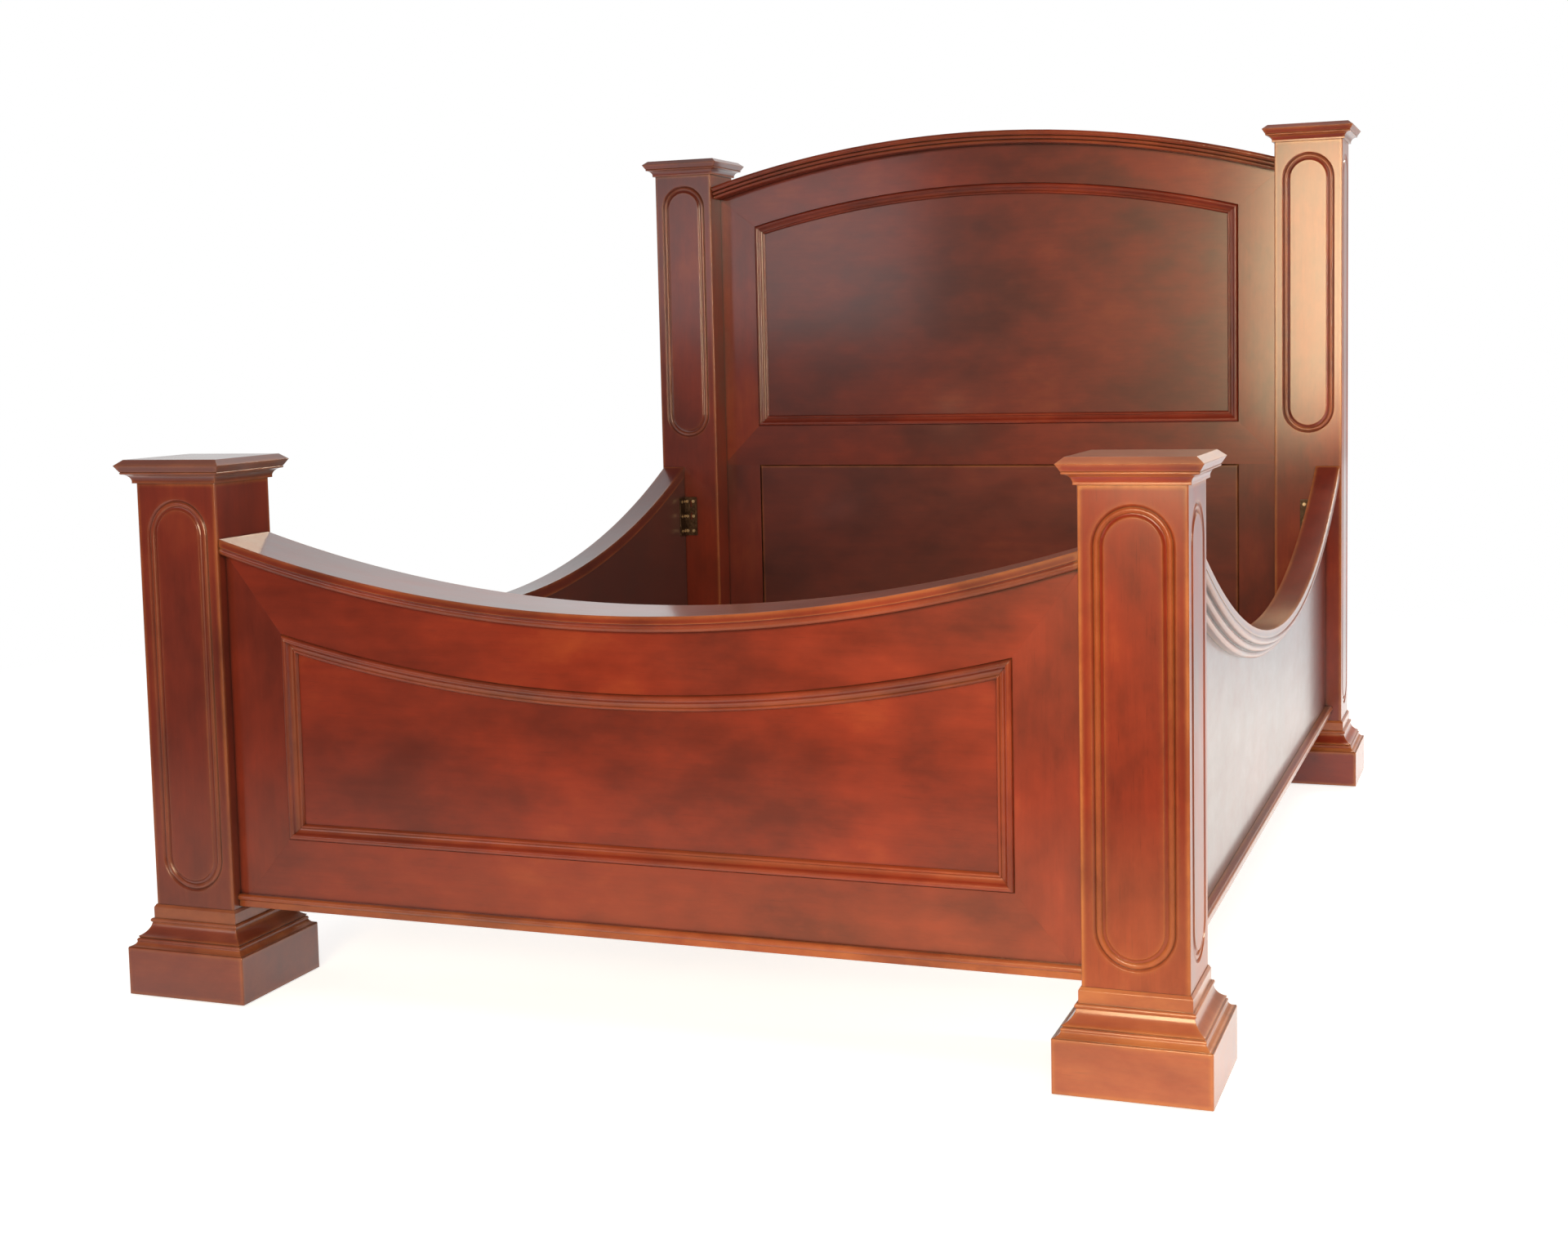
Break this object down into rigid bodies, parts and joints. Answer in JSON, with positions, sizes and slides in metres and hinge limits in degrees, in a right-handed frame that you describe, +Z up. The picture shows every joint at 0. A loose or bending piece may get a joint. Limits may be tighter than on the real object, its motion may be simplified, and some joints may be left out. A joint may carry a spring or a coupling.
{
  "type": "panel bed",
  "caption": "Panel bed with square capped posts, arched panelled headboard, scooped footboard and side rails, slatted base and moulded plinths.",
  "frame": {"origin": "centre of the bed on the floor, midway between the outer faces of the four plinths", "axes": "+X across the bed to the right seen from the foot, +Y from foot to head, +Z up"},
  "size_m": [1.82, 2.43, 1.5932],
  "materials": {
    "mahogany_stain": "glossy red-brown stain and lacquer",
    "plain_softwood": "planed, unfinished",
    "glide_pad": "matt",
    "bracket_steel": "yellow zinc plated",
    "screw_steel": "zinc plated"
  },
  "bodies": {
    "bed_frame": {"post_front_left": "mahogany_stain", "plinth_front_left": "mahogany_stain", "base_moulding_front_left": "mahogany_stain", "cap_moulding_front_left": "mahogany_stain", "cap_board_front_left": "mahogany_stain", "post_front_right": "mahogany_stain", "plinth_front_right": "mahogany_stain", "base_moulding_front_right": "mahogany_stain", "cap_moulding_front_right": "mahogany_stain", "cap_board_front_right": "mahogany_stain", "post_rear_left": "mahogany_stain", "plinth_rear_left": "mahogany_stain", "base_moulding_rear_left": "mahogany_stain", "cap_moulding_rear_left": "mahogany_stain", "cap_board_rear_left": "mahogany_stain", "post_rear_right": "mahogany_stain", "plinth_rear_right": "mahogany_stain", "base_moulding_rear_right": "mahogany_stain", "cap_moulding_rear_right": "mahogany_stain", "cap_board_rear_right": "mahogany_stain", "footboard_top_rail": "mahogany_stain", "footboard_left_stile": "mahogany_stain", "footboard_right_stile": "mahogany_stain", "footboard_panel": "mahogany_stain", "footboard_top_moulding": "mahogany_stain", "footboard_bottom_moulding": "mahogany_stain", "footboard_left_moulding": "mahogany_stain", "footboard_right_moulding": "mahogany_stain", "footboard_bottom_rail": "mahogany_stain", "headboard_top_rail": "mahogany_stain", "headboard_left_stile": "mahogany_stain", "headboard_right_stile": "mahogany_stain", "headboard_panel": "mahogany_stain", "headboard_top_moulding": "mahogany_stain", "headboard_bottom_moulding": "mahogany_stain", "headboard_left_moulding": "mahogany_stain", "headboard_right_moulding": "mahogany_stain", "headboard_bottom_rail": "mahogany_stain", "footboard_cap_rail": "mahogany_stain", "footboard_back_board": "mahogany_stain", "footboard_bottom_bead": "mahogany_stain", "headboard_middle_rail": "mahogany_stain", "headboard_crown": "mahogany_stain", "headboard_lower_left_stile": "mahogany_stain", "headboard_lower_right_stile": "mahogany_stain", "headboard_lower_panel": "mahogany_stain", "rail_left": "mahogany_stain", "rail_cap_left": "mahogany_stain", "rail_base_moulding_left": "mahogany_stain", "rail_right": "mahogany_stain", "rail_cap_right": "mahogany_stain", "rail_base_moulding_right": "mahogany_stain", "ledger_left": "plain_softwood", "ledger_right": "plain_softwood", "centre_beam": "plain_softwood", "centre_legs": "plain_softwood", "plinth_glides": "glide_pad", "rail_brackets": "bracket_steel", "bracket_screws": "screw_steel"},
    "slat_deck": {"slats": "plain_softwood"}
  },
  "joints": [
    {"name": "slats_lift", "type": "slide", "parent": "bed_frame", "child": "slat_deck", "axis": [0, 0, 1], "range_m": [0, 0.65]}
  ]
}
